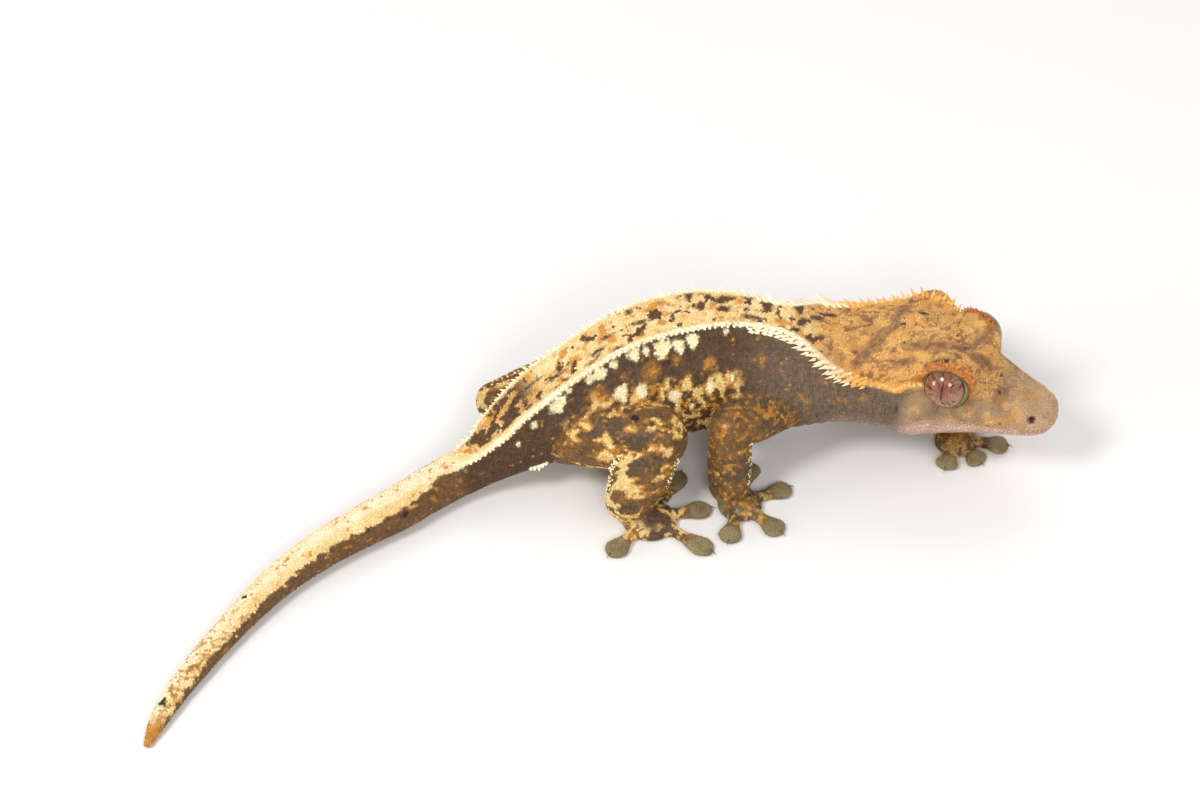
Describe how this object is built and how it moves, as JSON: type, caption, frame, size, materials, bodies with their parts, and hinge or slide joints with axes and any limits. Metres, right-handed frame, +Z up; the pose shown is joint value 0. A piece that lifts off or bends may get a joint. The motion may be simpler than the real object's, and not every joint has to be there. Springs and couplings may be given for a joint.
{
  "type": "crested gecko",
  "caption": "Life-size crested gecko, standing on splayed toe pads with its head turned and its tail laid on the floor, spiny crests from the brows to the hips.",
  "frame": {"origin": "centre of the floor rectangle that the animal covers, at the level of its toe pads", "axes": "+X the way the trunk faces, +Y to the animal's left, +Z up from the floor"},
  "size_m": [0.1462, 0.0872, 0.0262],
  "materials": {
    "head_skin": "peach-tan scaly skin with brown veins",
    "flank_skin": "dark brown scaly skin with cream and orange marks",
    "tail_skin": "cream scaly skin, brown below",
    "leg_skin": "orange-brown scaly skin",
    "toe_skin": "grey-olive toe pads",
    "eye": "clear wet cover over a pinkish brown iris"
  },
  "bodies": {
    "root": {"head": "head_skin", "left_eye": "eye", "right_eye": "eye", "neck": "flank_skin", "chest": "flank_skin", "belly": "flank_skin", "hips": "flank_skin", "tail_front": "tail_skin", "tail_middle": "tail_skin", "tail_tip": "tail_skin", "left_upper_arm": "leg_skin", "left_forearm": "leg_skin", "left_front_foot": "toe_skin", "right_upper_arm": "leg_skin", "right_forearm": "leg_skin", "right_front_foot": "toe_skin", "left_thigh": "leg_skin", "left_shin": "leg_skin", "left_hind_foot": "toe_skin", "right_thigh": "leg_skin", "right_shin": "leg_skin", "right_hind_foot": "toe_skin"}
  },
  "joints": []
}
